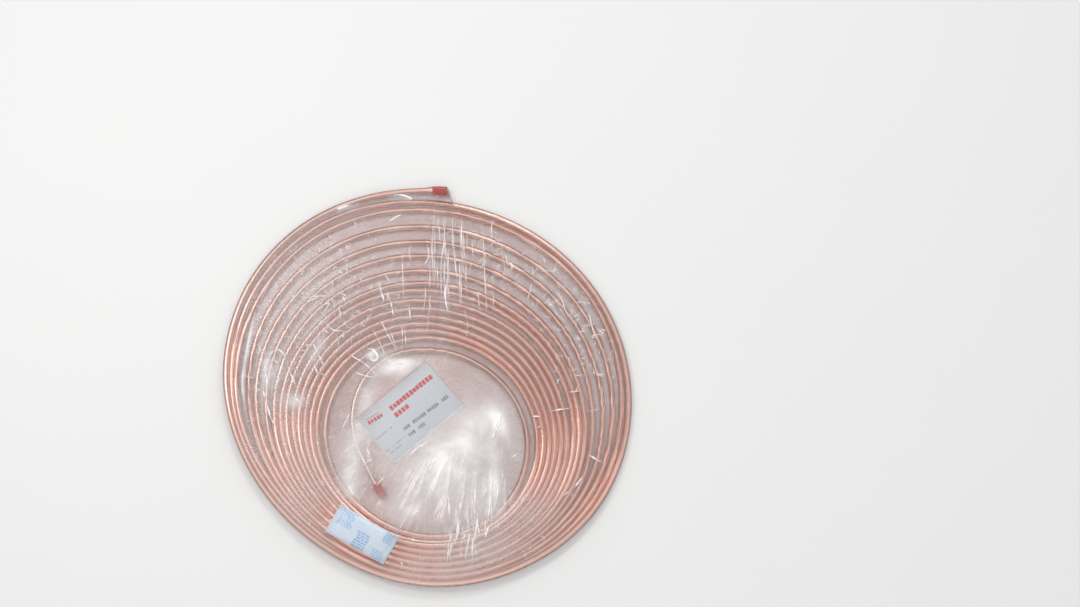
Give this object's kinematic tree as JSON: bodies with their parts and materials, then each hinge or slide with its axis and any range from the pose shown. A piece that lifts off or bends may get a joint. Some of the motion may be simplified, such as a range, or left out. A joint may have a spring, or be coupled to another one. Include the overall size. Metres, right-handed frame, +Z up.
{
  "type": "copper tube coil",
  "caption": "Flat, loosely wound spiral coil of soft copper tube with capped ends, film-wrapped with a label card and a desiccant pouch, for refrigeration and plumbing lines.",
  "frame": {"origin": "middle of the underside, at the centre of the bounding box", "axes": "+Z up, along the winding's axis; +Y towards the capped outer end"},
  "size_m": [0.4428, 0.4499, 0.0179],
  "materials": {
    "copper": "bright annealed soft copper, smooth drawn, satin highlight",
    "red_plastic": "soft moulded red plastic",
    "card": null,
    "pouch": null,
    "film": "clear stretched film, creased, glossy"
  },
  "bodies": {
    "root": {"copper_tube": "copper", "end_cap_outer": "red_plastic", "end_cap_inner": "red_plastic", "label_card": "card", "desiccant_pouch": "pouch", "film_wrap": "film"}
  },
  "joints": []
}
